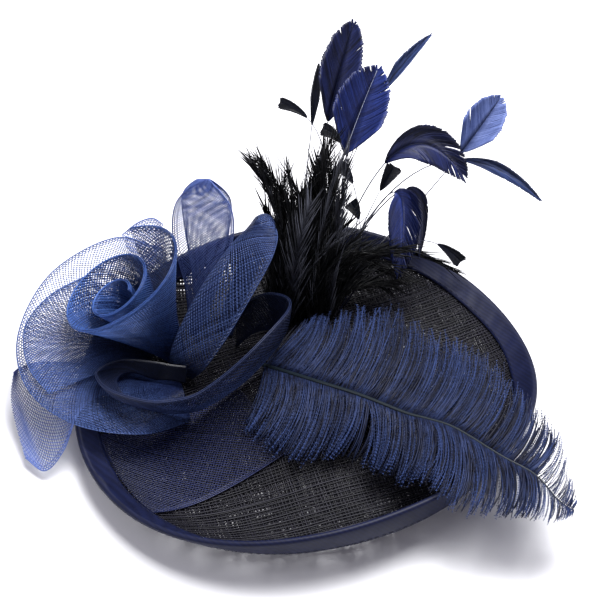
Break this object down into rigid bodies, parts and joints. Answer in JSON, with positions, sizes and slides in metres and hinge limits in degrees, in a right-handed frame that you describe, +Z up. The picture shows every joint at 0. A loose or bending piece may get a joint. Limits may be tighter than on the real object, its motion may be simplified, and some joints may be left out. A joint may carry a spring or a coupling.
{
  "type": "fascinator hat",
  "caption": "Saucer-shaped fascinator hat of open-weave straw with a curled brim, a braid flower, an ostrich plume and a feather spray.",
  "frame": {"origin": "on the surface that the hat rests on, under the middle of its bounding box", "axes": "+Z up out of the crown, +X towards the plume's tip and away from the flower, -Y to the front"},
  "size_m": [0.3838, 0.3434, 0.1953],
  "materials": {
    "sinamay": "stiff open weave",
    "binding": "satin",
    "crin": "semi-gloss braid",
    "crin_dark": "semi-gloss braid",
    "ostrich": "soft barbs",
    "hackle": "soft barbs",
    "goose": "satin vanes",
    "cock": "satin vanes",
    "clip": "black lacquer"
  },
  "bodies": {
    "root": {"sinamay_base": "sinamay", "rim_binding": "binding", "base_crin_band": "crin_dark", "crin_rose_bud": "crin", "crin_petal_left": "crin", "crin_petal_inner": "crin", "crin_petal_back": "crin", "crin_loop_top": "crin", "crin_loop_right": "crin", "crin_loop_front": "crin", "crin_tail": "crin", "ostrich_plume": "ostrich", "hackle_tuft": "hackle", "goose_feather_1": "goose", "goose_feather_2": "goose", "goose_feather_3": "goose", "goose_feather_4": "goose", "goose_feather_5": "goose", "goose_feather_6": "goose", "goose_feather_7": "goose", "goose_feather_8": "goose", "arrow_feather_1": "cock", "arrow_feather_2": "cock", "arrow_feather_3": "cock", "arrow_feather_4": "cock", "arrow_feather_5": "cock", "arrow_feather_6": "cock", "arrow_feather_7": "cock", "hair_clip": "clip"}
  },
  "joints": []
}
